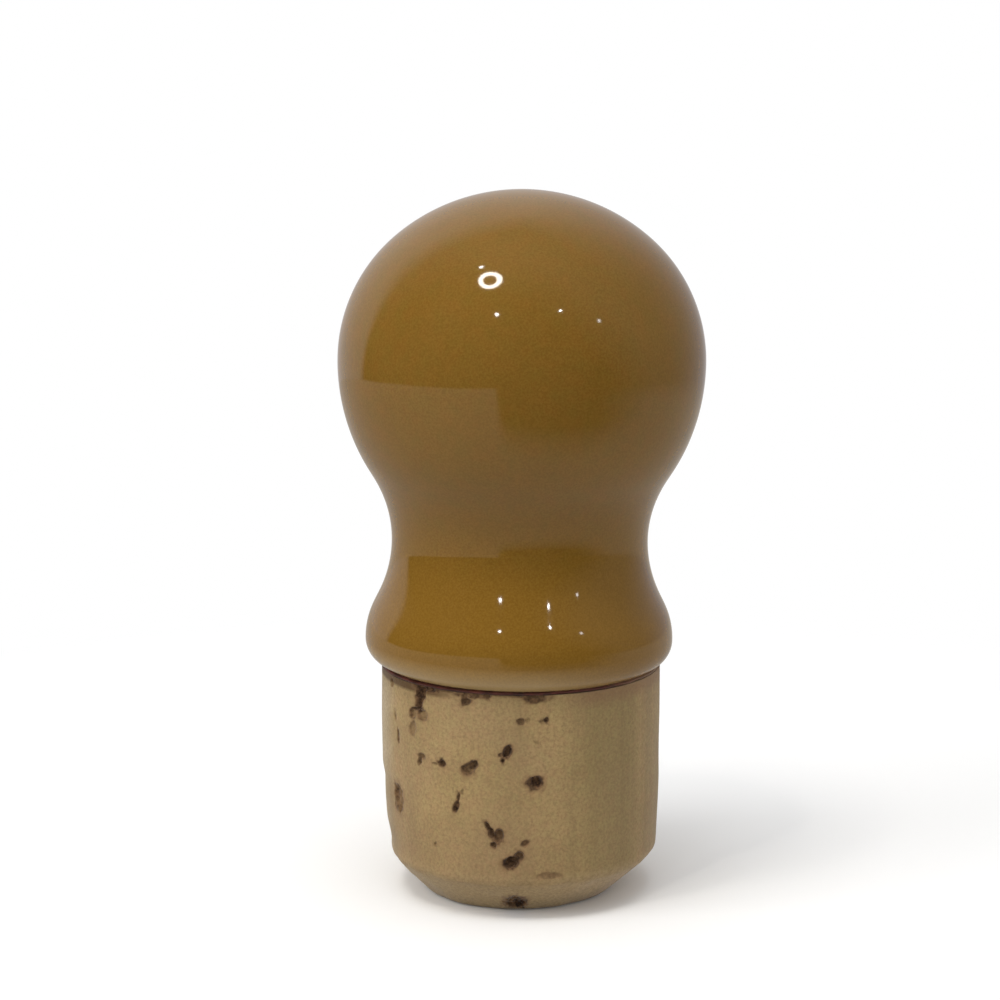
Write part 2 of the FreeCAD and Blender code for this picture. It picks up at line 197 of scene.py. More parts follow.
# Spans of the reach over which a pit's wall rises, the floor's tone turns into the rim's, the darkness ends
# and the brown round the rim ends. RIM_BROWN is that brown's share of the darkness.
WALL_SPAN = (0.5, 1.05)
TONE_SPAN = (0.55, 0.85)
DARK_SPAN = (0.85, 1.15)
BROWN_SPAN = (0.95, 1.6)
RIM_BROWN = 0.6


# Shaping

def finish_piece(bm, name, material, node):
    """Turn a bmesh into a smooth piece that stands for a CAD node."""
    bmesh.ops.recalc_face_normals(bm, faces=bm.faces)
    mesh = bpy.data.meshes.new(name)
    bm.to_mesh(mesh)
    bm.free()
    mesh.polygons.foreach_set("use_smooth", [True] * len(mesh.polygons))
    mesh.set_sharp_from_angle(angle=SHARP_ANGLE)
    mesh.materials.append(material)
    piece = bpy.data.objects.new(name, mesh)
    bpy.context.scene.collection.objects.link(piece)
    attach(piece, "root")
    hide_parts(node)


def line_to(bm, last, x, z, steps=1):
    """Draw a straight run in the XZ plane from the last vertex, in equal steps."""
    start = last.co.copy()
    for step in range(1, steps + 1):
        new = bmesh.ops.extrude_vert_indiv(bm, verts=[last])["verts"][0]
        new.co = start.lerp(Vector((x, 0, z)), step / steps)
        last = new
    return last


def arc_to(bm, last, x, z, turn, step):
    """Swing the last vertex about a centre, counter-clockwise for a positive turn."""
    reach = (last.co - Vector((x, 0, z))).length
    steps = max(2, round(abs(turn) * reach / step))
    spun = bmesh.ops.spin(bm, geom=[last], cent=(x, 0, z), axis=(0, -1, 0), angle=turn, steps=steps)
    return spun["geom_last"][0]


def turn_round(bm, steps):
    """Turn the drawn outline once round the Z axis, and close it at its poles."""
    outline = bm.verts[:] + bm.edges[:]
    bmesh.ops.spin(bm, geom=outline, cent=(0, 0, 0), axis=(0, 0, 1),
                   angle=math.tau, steps=steps, use_merge=True)
    bmesh.ops.remove_doubles(bm, verts=bm.verts, dist=TOLERANCE / 10)


def ease(value, low, high):
    """Rise smoothly from 0 at low to 1 at high."""
    share = min(max((value - low) / (high - low), 0), 1)
    return share * share * (3 - 2 * share)


# Materials

# A Mix node for colours takes its amount in socket 0 and its colours in 6 and 7, and gives output 2.
RGBA = {"data_type": "RGBA"}


def rgb(code):
    """Turn an sRGB hex colour into a linear one."""
    parts = [int(code[place:place + 2], 16) / 255 for place in (0, 2, 4)]
    linear = [part / 12.92 if part <= 0.04045 else ((part + 0.055) / 1.055) ** 2.4 for part in parts]
    return (*linear, 1)


def new_material(name):
    """Start an empty material and return it with its node tree."""
    material = bpy.data.materials.new(name)
    material.use_nodes = True
    material.node_tree.nodes.clear()
    return material, material.node_tree


def add(tree, kind, settings=None, inputs=None):
    """Add a node, set its properties, and fill or link its inputs."""
    new = tree.nodes.new(kind)
    for key, value in (settings or {}).items():
        setattr(new, key, value)
    for key, value in (inputs or {}).items():
        if isinstance(value, bpy.types.NodeSocket):
            tree.links.new(value, new.inputs[key])
        else:
            new.inputs[key].default_value = value
    return new


def glazed_earthenware():
    """Mustard glaze poured over buff earthenware and fired: glassy, deeper where it pooled."""
    material, tree = new_material("glazed earthenware")
    place = add(tree, "ShaderNodeTexCoord").outputs["Object"]
    split = add(tree, "ShaderNodeSeparateXYZ", {}, {0: place}).outputs
    pools = add(tree, "ShaderNodeTexNoise", {},
                {"Vector": place, "Scale": 1 / (9 * MM), "Detail": 3.0}).outputs[0]
    pooled = add(tree, "ShaderNodeMapRange", {},
                 {"Value": pools, "From Min": 0.3, "From Max": 0.7}).outputs[0]
    poured = add(tree, "ShaderNodeMix", RGBA, {0: pooled, 6: rgb("7a5b25"), 7: rgb("75551f")}).outputs[2]

    mottles = add(tree, "ShaderNodeTexNoise", {},
                  {"Vector": place, "Scale": 1 / (1.2 * MM), "Detail": 4.0, "Roughness": 0.6}).outputs[0]
    mottled = add(tree, "ShaderNodeMapRange", {},
                  {"Value": mottles, "From Min": 0.35, "From Max": 0.65}).outputs[0]
    hue = add(tree, "ShaderNodeMix", RGBA, {0: mottled, 6: rgb("7e4e1a"), 7: rgb("625218")}).outputs[2]
    colour = add(tree, "ShaderNodeMix", RGBA, {0: 0.22, 6: poured, 7: hue}).outputs[2]

    # The foot is a warmer brown than the ball, and the glaze breaks pale where it runs thin over the lip.
    foot = add(tree, "ShaderNodeMapRange", {},
               {"Value": split["Z"], "From Min": 30 * MM, "From Max": 24 * MM}).outputs[0]
    colour = add(tree, "ShaderNodeMix", RGBA, {0: foot, 6: colour, 7: rgb("7b591e")}).outputs[2]
    # The pale lip band is partly a painted reflection of the table, with painted shade to the right.
    rightward = add(tree, "ShaderNodeMapRange", {},
                    {"Value": split["X"], "From Min": 1 * MM, "From Max": 8 * MM}).outputs[0]
    pale = add(tree, "ShaderNodeMix", RGBA, {0: rightward, 6: rgb("a2895f"), 7: rgb("806238")}).outputs[2]
    thin = add(tree, "ShaderNodeMapRange", {}, {
        "Value": split["Z"], "From Min": CORK_LENGTH + 2.2 * MM, "From Max": CORK_LENGTH + 0.9 * MM,
    }).outputs[0]
    colour = add(tree, "ShaderNodeMix", RGBA, {0: thin, 6: colour, 7: pale}).outputs[2]

    # Iron specks in the clay measure about 0.03 mm, too fine to show, so they are drawn at 0.14 mm.
    specks = add(tree, "ShaderNodeTexNoise", {},
                 {"Vector": place, "Scale": 1 / (0.14 * MM), "Detail": 2.0}).outputs[0]
    speckled = add(tree, "ShaderNodeMapRange", {},
                   {"Value": specks, "From Min": 0.35, "From Max": 0.65}).outputs[0]
    grit = add(tree, "ShaderNodeMix", RGBA, {0: speckled, 6: rgb("503612"), 7: rgb("a07c3a")}).outputs[2]
    colour = add(tree, "ShaderNodeMix", RGBA, {0: 0.14, 6: colour, 7: grit}).outputs[2]

    ripple = add(tree, "ShaderNodeTexNoise", {},
                 {"Vector": place, "Scale": 1 / (4 * MM), "Detail": 1.0}).outputs[0]
    bump = add(tree, "ShaderNodeBump", {}, {"Height": ripple, "Distance": 0.03 * MM}).outputs[0]
    glaze = add(tree, "ShaderNodeBsdfPrincipled", {},
                {"Base Color": colour, "Roughness": 0.06, "IOR": 1.5, "Normal": bump}).outputs[0]
    add(tree, "ShaderNodeOutputMaterial", {}, {"Surface": glaze})
    return material


def natural_cork():
    """Cork bark, punched and sanded: fine cells, faint growth bands, dark pits, a painted sheen on the left
    edge.
    """
    material, tree = new_material("natural cork")
    where = add(tree, "ShaderNodeTexCoord").outputs["Object"]
    split = add(tree, "ShaderNodeSeparateXYZ", {}, {0: where}).outputs
    # The bark's outward direction lies 25 degrees left of the front, and becomes the pattern's X.
    bark = add(tree, "ShaderNodeMapping", {},
               {"Vector": where, "Rotation": (0, 0, math.radians(115))}).outputs[0]
    outward = add(tree, "ShaderNodeSeparateXYZ", {}, {0: bark}).outputs["X"]
    clouds = add(tree, "ShaderNodeTexNoise", {},
                 {"Vector": bark, "Scale": 1 / (4 * MM), "Detail": 3.0}).outputs[0]
    clouded = add(tree, "ShaderNodeMapRange", {},
                  {"Value": clouds, "From Min": 0.35, "From Max": 0.65}).outputs[0]
    colour = add(tree, "ShaderNodeMix", RGBA, {0: clouded, 6: rgb("b29668"), 7: rgb("9f865b")}).outputs[2]

    # Rosy flushes, 5 to 7 mm across
    wide = add(tree, "ShaderNodeMapping", {},
               {"Vector": bark, "Scale": (1 / (5 * MM), 1 / (7 * MM), 1 / (6 * MM))}).outputs[0]
    rosy = add(tree, "ShaderNodeTexNoise", {}, {"Vector": wide, "Scale": 1.0}).outputs[0]
    flush = add(tree, "ShaderNodeMapRange", {},
                {"Value": rosy, "From Min": 0.45, "From Max": 0.65, "To Max": 0.5}).outputs[0]
    colour = add(tree, "ShaderNodeMix", RGBA, {0: flush, 6: colour, 7: rgb("a58766")}).outputs[2]

    # Fine mottling between rosy and yellow, 0.6 mm across
    mottles = add(tree, "ShaderNodeTexNoise", {},
                  {"Vector": bark, "Scale": 1 / (0.6 * MM), "Detail": 2.0, "Roughness": 0.6}).outputs[0]
    mottled = add(tree, "ShaderNodeMapRange", {},
                  {"Value": mottles, "From Min": 0.35, "From Max": 0.65}).outputs[0]
    hue = add(tree, "ShaderNodeMix", RGBA, {0: mottled, 6: rgb("a8845c"), 7: rgb("a69a62")}).outputs[2]
    colour = add(tree, "ShaderNodeMix", RGBA, {0: 0.3, 6: colour, 7: hue}).outputs[2]

    # Growth bands, one for each year, 1.1 mm apart, running up the wall
    years = add(tree, "ShaderNodeMapping", {},
                {"Vector": bark, "Scale": (1 / (1.1 * MM), 1 / (9 * MM), 1 / (25 * MM))}).outputs[0]
    rings = add(tree, "ShaderNodeTexNoise", {}, {"Vector": years, "Scale": 1.0}).outputs[0]
    ringed = add(tree, "ShaderNodeMapRange", {},
                 {"Value": rings, "From Min": 0.45, "From Max": 0.7, "To Max": 0.4}).outputs[0]
    colour = add(tree, "ShaderNodeMix", RGBA, {0: ringed, 6: colour, 7: rgb("85704f")}).outputs[2]

    # A broad olive band crosses the front right.
    outer = add(tree, "ShaderNodeMapRange", {},
                {"Value": outward, "From Min": 8 * MM, "From Max": 6 * MM, "To Max": 0.4}).outputs[0]
    inner = add(tree, "ShaderNodeMapRange", {},
                {"Value": outward, "From Min": 1.5 * MM, "From Max": 3 * MM}).outputs[0]
    olive = add(tree, "ShaderNodeMath", {"operation": "MULTIPLY"}, {0: outer, 1: inner}).outputs[0]
    colour = add(tree, "ShaderNodeMix", RGBA, {0: olive, 6: colour, 7: rgb("7d7047")}).outputs[2]

    # Left of the olive band, the lower half is browner.
    lower = add(tree, "ShaderNodeMapRange", {},
                {"Value": split["Z"], "From Min": 10 * MM, "From Max": 6 * MM, "To Max": 0.24}).outputs[0]
    middle = add(tree, "ShaderNodeMapRange", {},
                 {"Value": split["X"], "From Min": 4 * MM, "From Max": 2 * MM}).outputs[0]
    brown = add(tree, "ShaderNodeMath", {"operation": "MULTIPLY"}, {0: lower, 1: middle}).outputs[0]
    colour = add(tree, "ShaderNodeMix", RGBA, {0: brown, 6: colour, 7: rgb("7c6146")}).outputs[2]

    # The worn lower edge is paler, most of all on the right.
    # Part of that paleness is painted light, in place of light bounced up from the floor.
    rightward = add(tree, "ShaderNodeMapRange", {},
                    {"Value": split["X"], "From Min": 1 * MM, "From Max": 7 * MM}).outputs[0]
    fresh_and_bounce_lit = add(tree, "ShaderNodeMix", RGBA, {0: rightward, 6: rgb("b79f76"), 7: rgb("d0b490")}).outputs[2]
    edge = add(tree, "ShaderNodeMapRange", {}, {
        "Value": split["Z"], "From Min": 3.8 * MM, "From Max": 2.2 * MM, "To Max": 0.7,
    }).outputs[0]
    colour = add(tree, "ShaderNodeMix", RGBA, {0: edge, 6: colour, 7: fresh_and_bounce_lit}).outputs[2]

    # Down the left side, a pale strip with an uneven border is a painted sheen of grazing light.
    border = add(tree, "ShaderNodeMath", {"operation": "MULTIPLY_ADD"},
                 {0: clouds, 1: 2 * MM, 2: split["X"]}).outputs[0]
    painted_sheen_strip = add(tree, "ShaderNodeMapRange", {}, {
        "Value": border, "From Min": -8.3 * MM, "From Max": -9.4 * MM, "To Max": 0.7,
    }).outputs[0]
    colour = add(tree, "ShaderNodeMix", RGBA, {0: painted_sheen_strip, 6: colour, 7: rgb("bfac8e")}).outputs[2]

    # Cork's cells measure 0.04 mm, too fine to show, so they are drawn at 0.22 mm.
    cells = add(tree, "ShaderNodeTexNoise", {},
                {"Vector": bark, "Scale": 1 / (0.22 * MM), "Detail": 3.0, "Roughness": 0.65}).outputs[0]
    celled = add(tree, "ShaderNodeMapRange", {},
                 {"Value": cells, "From Min": 0.35, "From Max": 0.7, "To Max": 0.62}).outputs[0]
    colour = add(tree, "ShaderNodeMix", RGBA, {0: celled, 6: colour, 7: rgb("7b6546")}).outputs[2]

    # Adhesive has stained the top of the wall on the right.
    top = add(tree, "ShaderNodeMapRange", {},
              {"Value": split["Z"], "From Min": 15.7 * MM, "From Max": 16.6 * MM, "To Max": 0.5}).outputs[0]
    right = add(tree, "ShaderNodeMapRange", {},
                {"Value": split["X"], "From Min": 3 * MM, "From Max": 5 * MM}).outputs[0]
    stain = add(tree, "ShaderNodeMath", {"operation": "MULTIPLY"}, {0: top, 1: right}).outputs[0]
    colour = add(tree, "ShaderNodeMix", RGBA, {0: stain, 6: colour, 7: rgb("85604a")}).outputs[2]

    # On the left, painted shade darkens the seam and runs half a millimetre down the wall.
    topmost = add(tree, "ShaderNodeMapRange", {}, {
        "Value": split["Z"], "From Min": 16.4 * MM, "From Max": 16.65 * MM, "To Max": 0.9,
    }).outputs[0]
    leftward = add(tree, "ShaderNodeMapRange", {},
                   {"Value": split["X"], "From Min": -4.5 * MM, "From Max": -6.5 * MM}).outputs[0]
    painted_seam_shade = add(tree, "ShaderNodeMath", {"operation": "MULTIPLY"}, {0: topmost, 1: leftward}).outputs[0]
    colour = add(tree, "ShaderNodeMix", RGBA, {0: painted_seam_shade, 6: colour, 7: rgb("573e22")}).outputs[2]

    # Pits are dark and crumbly inside, with a browned rim.
    pit = add(tree, "ShaderNodeAttribute", {"attribute_name": "pit"}).outputs["Fac"]
    rim = add(tree, "ShaderNodeAttribute", {"attribute_name": "rim"}).outputs["Fac"]
    colour = add(tree, "ShaderNodeMix", RGBA, {0: rim, 6: colour, 7: rgb("7c5d40")}).outputs[2]
    crumbs = add(tree, "ShaderNodeTexNoise", {},
                 {"Vector": bark, "Scale": 1 / (0.35 * MM), "Detail": 3.0, "Roughness": 0.65}).outputs[0]
    crumbly = add(tree, "ShaderNodeMapRange", {},
                  {"Value": crumbs, "From Min": 0.4, "From Max": 0.65}).outputs[0]
    hollow = add(tree, "ShaderNodeMix", RGBA, {0: crumbly, 6: rgb("3e2a1b"), 7: rgb("785a3e")}).outputs[2]
    colour = add(tree, "ShaderNodeMix", RGBA, {0: pit, 6: colour, 7: hollow}).outputs[2]

    bump = add(tree, "ShaderNodeBump", {},
               {"Height": cells, "Distance": 0.05 * MM, "Strength": 0.7}).outputs[0]
    cork = add(tree, "ShaderNodeBsdfPrincipled", {}, {
        "Base Color": colour, "Roughness": 0.85, "IOR": 1.4, "Normal": bump,
        "Sheen Weight": 0.2, "Sheen Roughness": 0.4,
    }).outputs[0]
    add(tree, "ShaderNodeOutputMaterial", {}, {"Surface": cork})
    return material


def set_adhesive():
    """Contact adhesive, squeezed out and dried red-brown: uneven and a little shiny."""
    material, tree = new_material("set adhesive")
    place = add(tree, "ShaderNodeTexCoord").outputs["Object"]
    lumps = add(tree, "ShaderNodeTexNoise", {},
                {"Vector": place, "Scale": 1 / (0.8 * MM), "Detail": 3.0}).outputs[0]
    uneven = add(tree, "ShaderNodeMapRange", {},
                 {"Value": lumps, "From Min": 0.35, "From Max": 0.65}).outputs[0]
    colour = add(tree, "ShaderNodeMix", RGBA, {0: uneven, 6: rgb("643026"), 7: rgb("3f1f1a")}).outputs[2]
    # It thins out towards +X, where cork dust covers it.
    rightward = add(tree, "ShaderNodeSeparateXYZ", {}, {0: place}).outputs["X"]
    dust = add(tree, "ShaderNodeMapRange", {},
               {"Value": rightward, "From Min": 6 * MM, "From Max": 10 * MM}).outputs[0]
    colour = add(tree, "ShaderNodeMix", RGBA, {0: dust, 6: colour, 7: rgb("8a6a4e")}).outputs[2]
    bump = add(tree, "ShaderNodeBump", {}, {"Height": lumps, "Distance": 0.05 * MM}).outputs[0]
    glue = add(tree, "ShaderNodeBsdfPrincipled", {},
               {"Base Color": colour, "Roughness": 0.5, "Normal": bump}).outputs[0]
    add(tree, "ShaderNodeOutputMaterial", {}, {"Surface": glue})
    return material


# Ceramic head

def build_head():
    """Turn the head from its peg up: underside, lip, flare, neck, belly, shoulder and crown."""
    bm = bmesh.new()
    last = bm.verts.new((0, 0, -PEG_LENGTH))
    last = line_to(bm, last, PEG_RADIUS - PEG_BEVEL, -PEG_LENGTH, 4)
    last = line_to(bm, last, PEG_RADIUS, PEG_BEVEL - PEG_LENGTH)
    last = line_to(bm, last, PEG_RADIUS, 0, 8)
    last = line_to(bm, last, CORK_RADIUS, 0, 8)
    flat = set(bm.verts)

    # The lip rolls from the underside's edge out to the foot's widest line.
    lip_x = FOOT_RADIUS - LIP_RADIUS
    foot_z = math.sqrt(LIP_RADIUS**2 - (CORK_RADIUS - lip_x) ** 2)
    last = arc_to(bm, last, lip_x, foot_z, math.asin(foot_z / LIP_RADIUS), HEAD_GRID / 2)

    # The flare leans in to the neck, which curves the other way up to the belly.
    flare_x = FOOT_RADIUS - FLARE_RADIUS
    neck_x = WAIST_RADIUS + NECK_RADIUS
    neck_z = foot_z + math.sqrt((FLARE_RADIUS + NECK_RADIUS) ** 2 - (neck_x - flare_x) ** 2)
    belly_x = BALL_RADIUS - BELLY_RADIUS
    ball_z = neck_z + math.sqrt((NECK_RADIUS + BELLY_RADIUS) ** 2 - (neck_x - belly_x) ** 2)
    flare_turn = math.atan2(neck_z - foot_z, neck_x - flare_x)
    belly_turn = math.atan2(ball_z - neck_z, neck_x - belly_x)
    last = arc_to(bm, last, flare_x, foot_z, flare_turn, HEAD_GRID)
    last = arc_to(bm, last, neck_x, neck_z, -flare_turn - belly_turn, HEAD_GRID)
    last = arc_to(bm, last, belly_x, ball_z, belly_turn, HEAD_GRID)

    # The crown's radius makes it meet the shoulder's arc.
    shoulder = BALL_RADIUS - SHOULDER_INSET
    crown = (SHOULDER_INSET**2 + CROWN_RISE**2 - shoulder**2) / (2 * (CROWN_RISE - shoulder))
    crown_z = ball_z + CROWN_RISE - crown
    crown_turn = math.atan2(ball_z - crown_z, SHOULDER_INSET)
    last = arc_to(bm, last, SHOULDER_INSET, ball_z, crown_turn, HEAD_GRID)
    top = arc_to(bm, last, 0, crown_z, math.pi / 2 - crown_turn, HEAD_GRID)

    # The joins of the arcs are softened, and the peg, the underside and the top stay where they are.
    soft = [vert for vert in bm.verts if vert not in flat and vert is not top]
    for _ in range(SMOOTHINGS):
        bmesh.ops.smooth_vert(bm, verts=soft, factor=0.5, use_axis_x=True, use_axis_z=True)
    turn_round(bm, HEAD_SEGMENTS)

    # The front is made fuller at the foot and slimmer at the waist, and stays even above EVEN_BETWEEN.
    for vert in bm.verts:
        x, y, z = vert.co
        front = math.exp(-((math.degrees(math.atan2(x, -y)) - FRONT_MIDDLE) / FRONT_WIDTH) ** 2)
        swell = FULLER * ease(z, *FULLER_BETWEEN)
        swell -= (FULLER + SLIMMER) * ease(z, *SLIMMER_BETWEEN)
        swell += SLIMMER * ease(z, *EVEN_BETWEEN)
        vert.co += Vector((x, y, 0)).normalized() * swell * front
    bmesh.ops.transform(bm, matrix=SEAT, verts=bm.verts)
    finish_piece(bm, "glazed_head", glazed_earthenware(), "ceramic_head")


# Cork plug

def draw_cork(bm):
    """Draw half the cork's section: worn lower edge, straight wall, and the bore for the peg."""
    high_cut = WEAR_ROUND * math.tan(math.pi / 4 - WEAR_SLOPE / 2)
    last = bm.verts.new((0, 0, 0))
    last = line_to(bm, last, BASE_RADIUS, 0, 20)
    last = arc_to(bm, last, BASE_RADIUS, WEAR_ROUND, WEAR_SLOPE, CORK_GRID / 2)
    worn_x = CORK_RADIUS - high_cut * math.cos(WEAR_SLOPE)
    worn_z = WEAR_HEIGHT - high_cut * math.sin(WEAR_SLOPE)
    last = line_to(bm, last, worn_x, worn_z, 14)
    round_x = CORK_RADIUS - WEAR_ROUND
    last = arc_to(bm, last, round_x, WEAR_HEIGHT + high_cut, math.pi / 2 - WEAR_SLOPE, CORK_GRID / 2)
    last = line_to(bm, last, CORK_RADIUS, CORK_LENGTH, round((CORK_LENGTH - last.co.z) / CORK_GRID))
    # The rim of the top has finer steps, because pits cut into it.
    last = line_to(bm, last, CORK_RADIUS - TOP_RIM, CORK_LENGTH, 6)
    last = line_to(bm, last, BORE_RADIUS, CORK_LENGTH, 6)
    last = line_to(bm, last, BORE_RADIUS, BORE_FLOOR, 8)
    line_to(bm, last, 0, BORE_FLOOR, 4)


def reach_in(oval, point):
    """Measure a point of the cork's wall against an oval: 0 at its middle, 1 at its ragged rim."""
    azimuth, height, width, length, _, tilt, *_ = oval
    turn = math.atan2(point.x, -point.y) - math.radians(azimuth)
    turn = (turn + math.pi) % math.tau - math.pi
    side = turn * CORK_RADIUS / MM
    rise = point.z / MM - height
    if max(abs(side), abs(rise)) > length + width + 1:
        return FAR
    lean = math.radians(tilt)
    across = side * math.cos(lean) - rise * math.sin(lean)
    along = side * math.sin(lean) + rise * math.cos(lean)
    ragged = COARSE * noise.noise(Vector((side * COARSE_WAVES, rise * COARSE_WAVES, azimuth)))
    ragged += FINE * noise.noise(Vector((side * FINE_WAVES, rise * FINE_WAVES, height)))
    return math.hypot(2 * across / width, 2 * along / length) * (1 + ragged)


def pit_at(place):
    """Give the depth, the darkness and the brown of the rim that the pits have at a place on the wall."""
    deep = dark = brown = 0.0
    rough = EVEN_DEPTH + UNEVEN_DEPTH * noise.noise(place / MM * DEPTH_WAVES)
    for oval in OVALS:
        reach = reach_in(oval, place)
        if reach < BROWN_SPAN[1]:
            *_, depth, _, darkness, floor = oval
            tone = floor + (1 - floor) * ease(reach, *TONE_SPAN)
            deep = max(deep, depth * MM * rough * (1 - ease(reach, *WALL_SPAN)))
            dark = max(dark, darkness * tone * (1 - ease(reach, *DARK_SPAN)))
            brown = max(brown, darkness * RIM_BROWN * (1 - ease(reach, *BROWN_SPAN)))
    return deep, dark, brown


def worn_in(place, lumpy):
    """Give how deep the wall is worn in at a place, where lumpy is the share of the lower edge's lumps."""
    azimuth = math.degrees(math.atan2(place.x, -place.y))
    rubbed = 0
    for middle, depth, low, full, fading, gone in RUBBED:
        begun = ease(place.z, low * MM, full * MM)
        faded = ease(place.z, fading * MM, gone * MM)
        rubbed += math.exp(-((azimuth - middle) / RUBBED_WIDTH) ** 2) * depth * begun * (1 - faded)
    lumps = WALL_LUMP * noise.noise(place / MM / WALL_SPACING)
    lumps += EDGE_LUMP * lumpy * noise.noise(place / MM / EDGE_SPACING)
    return (rubbed + max(lumps + SANDED, 0)) * MM


def build_cork():
    """Turn the cork, wear it unevenly, and push its pits in."""
    bm = bmesh.new()
    draw_cork(bm)
    turn_round(bm, CORK_SEGMENTS)

    # Faces near a pit are cut finer, so that its rim is crisp.
    outer = [vert for vert in bm.verts if math.hypot(vert.co.x, vert.co.y) > CORE_RADIUS]
    near = {vert for vert in outer if min(reach_in(oval, vert.co) for oval in OVALS) < FINER_WITHIN}
    edges = [edge for edge in bm.edges if edge.verts[0] in near and edge.verts[1] in near]
    bmesh.ops.subdivide_edges(bm, edges=edges, cuts=3, use_grid_fill=True)

    pit_layer = bm.verts.layers.float.new("pit")
    rim_layer = bm.verts.layers.float.new("rim")
    for vert in bm.verts:
        place = vert.co.copy()
        radius = math.hypot(place.x, place.y)
        if radius < CORE_RADIUS:
            continue
        low, high = place.z < TOLERANCE, place.z > CORK_LENGTH - TOLERANCE
        wall = BASE_RADIUS if low else CORK_RADIUS if high else radius
        depth, vert[pit_layer], vert[rim_layer] = pit_at(place)
        lumpy = 1 - ease(place.z, LUMPY_LOW, LUMPY_HIGH)
        if not high:
            wall -= worn_in(place, lumpy)
        new = min(radius, wall - depth)
        vert.co.x *= new / radius
        vert.co.y *= new / radius
        vert.co.x -= BASE_SHIFT * lumpy * (1 - place.z / LUMPY_HIGH)
    finish_piece(bm, "pitted_cork", natural_cork(), "cork_plug")


# Set adhesive

def build_glue():
    """Fill the seam and the bore round the peg, with an uneven bead squeezed out under the lip."""
    bm = bmesh.new()
    edge = CORK_RADIUS - GLUE_INSET
    last = bm.verts.new((0, 0, BORE_FLOOR))
    last = line_to(bm, last, BORE_RADIUS, BORE_FLOOR, 2)
    last = line_to(bm, last, BORE_RADIUS, CORK_LENGTH, 4)
    last = line_to(bm, last, edge, CORK_LENGTH, 4)
    last = arc_to(bm, last, edge, CORK_LENGTH + GLUE_THICKNESS / 2, math.pi, GLUE_GRID)
    last = line_to(bm, last, PEG_RADIUS, GLUE_TOP, 4)
    last = line_to(bm, last, PEG_RADIUS, GLUE_TOP + PEG_BEVEL - PEG_LENGTH, 4)
    last = line_to(bm, last, PEG_RADIUS - PEG_BEVEL, GLUE_TOP - PEG_LENGTH)
    line_to(bm, last, 0, GLUE_TOP - PEG_LENGTH, 2)
    turn_round(bm, CORK_SEGMENTS)

    # What touches the head leans with it.
    touching = [
        vert for vert in bm.verts
        if vert.co.z > GLUE_TOP - TOLERANCE
        or math.hypot(vert.co.x, vert.co.y) < PEG_RADIUS + TOLERANCE and vert.co.z > BORE_FLOOR + TOLERANCE
    ]
    seat = SEAT @ Matrix.Translation((0, 0, -GLUE_TOP))
    bmesh.ops.transform(bm, matrix=seat, verts=touching)

    # The edge is pushed out into a bead.
    for vert in bm.verts:
        radius = math.hypot(vert.co.x, vert.co.y)
        if radius > edge + TOLERANCE:
            azimuth = math.atan2(vert.co.x, -vert.co.y)
            lump = noise.noise(Vector((math.cos(azimuth), math.sin(azimuth), 0)) * BEAD_WAVES)
            left = math.exp(-((azimuth - LEFT_MIDDLE) / LEFT_WIDTH) ** 2)
            push = (BEAD + BEAD_LUMPS * lump + BEAD_LEFT * left) * MM
            share = (radius - edge) / (GLUE_THICKNESS / 2)
            vert.co.x *= 1 + push * share / radius
            vert.co.y *= 1 + push * share / radius
    finish_piece(bm, "glue_seam", set_adhesive(), "glue_bed")


# Stage, in metres
FLOOR_RADIUS = 3
ROOM_RADIUS = 0.9
SHEET_RADIUS = 0.245
SHEET_HEIGHT = 0.0004
RING_PLACE = Vector((-0.139, -0.188, 0.494))
RING_AIM = Vector((-0.002, -0.011, 0.047))
RING_RADIUS = 0.055
RING_WIDTH = 0.022
# Lamps: place, point aimed at and width in mm, then watts, and whether the glaze mirrors the lamp
LAMPS = {
    "key": ((-330, -160, 280), (0, 0, 25), 260, 0.72, False),
    "top": ((0, -60, 500), (0, 0, 0), 300, 0.5, False),
    "lamp_by_ring": ((-164, -86, 515), (-3, -10, 48), 18, 0.03, True),
    "lamp_left": ((-125, -377, 364), (-2, -12, 45), 20, 0.035, True),
    "lamp_middle": ((186, -340, 375), (3, -12, 45), 14, 0.025, True),
    "lamp_right": ((358, -259, 298), (5, -12, 44), 18, 0.01, True),
}
# The camera looks down by CAMERA_DIP degrees. Its lens and sensor are in mm.
CAMERA_PLACE = Vector((-1.56, -186.93, 63.44)) * MM
CAMERA_DIP = 10.31
LENS = 91.66
SENSOR_WIDTH = 36

# A Vector Math node that tells how far a place lies along a direction
DOT = {"operation": "DOT_PRODUCT"}


def stage_piece(bm, name, material):
    """Turn a bmesh into a part of the stage."""
    mesh = bpy.data.meshes.new(name)
    bm.to_mesh(mesh)
    bm.free()
    mesh.materials.append(material)
    piece = bpy.data.objects.new(name, mesh)
    bpy.context.scene.collection.objects.link(piece)
    return piece


